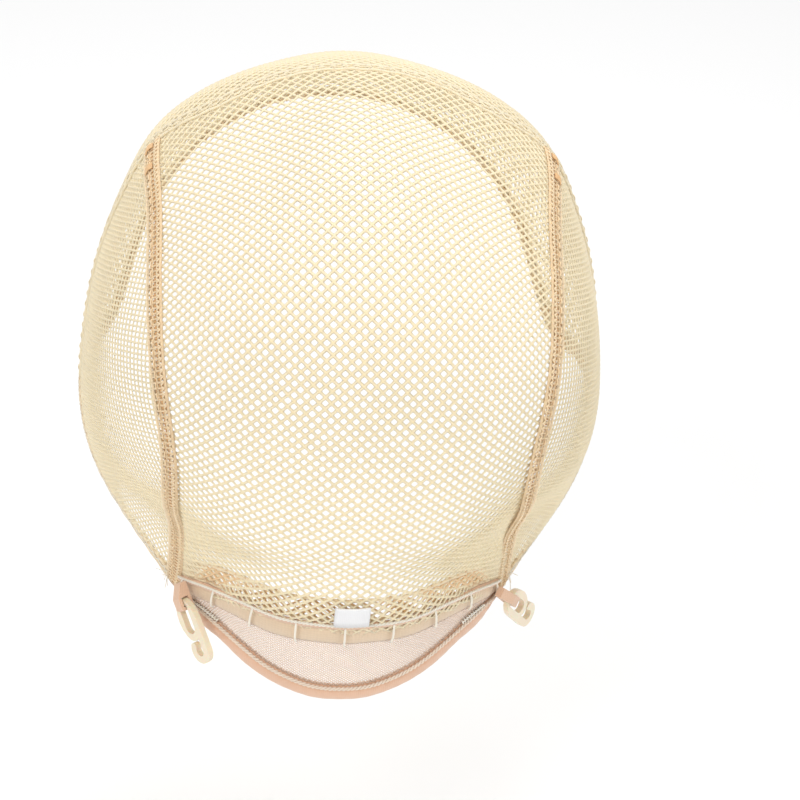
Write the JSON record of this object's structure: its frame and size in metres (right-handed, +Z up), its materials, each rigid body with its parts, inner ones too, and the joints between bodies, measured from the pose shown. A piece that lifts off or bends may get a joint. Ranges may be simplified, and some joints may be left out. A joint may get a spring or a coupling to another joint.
{
  "type": "wig cap",
  "caption": "Soft net wig cap for a small head, with a closed crown, sewn panels, an elastic nape casing, a bound nape edge and small plastic nape hooks",
  "frame": {"origin": "inside of the crown at its top, in the middle from side to side, where the cap rests on the head", "axes": "+Z up, +Y the way the wearer faces, +X to the wearer's right"},
  "size_m": [0.1532, 0.166, 0.1685],
  "materials": {
    "net": "knotted open net, matt",
    "hem": "doubled net, matt",
    "seam": "doubled net tape, matt",
    "casing": "fine net over elastic, matt",
    "piping": "woven elastic cord and loops, matt",
    "nape_net": "very fine net, matt",
    "binding": "woven binding, soft sheen",
    "hook_plastic": "moulded, soft gloss",
    "tag": "woven satin tape"
  },
  "bodies": {
    "root": {"crown_panel": "net", "front_panel": "net", "side_panel_left": "net", "side_panel_right": "net", "cross_seam_band": "net", "crown_hem": "hem", "front_hem": "hem", "ear_hem_left": "hem", "ear_hem_right": "hem", "seam_band_left": "seam", "seam_band_right": "seam", "nape_casing": "casing", "casing_piping": "piping", "hook_strap_left": "piping", "hook_strap_right": "piping", "nape_net": "nape_net", "nape_binding": "binding", "hook_left": "hook_plastic", "hook_right": "hook_plastic", "size_tag": "tag"}
  },
  "joints": []
}
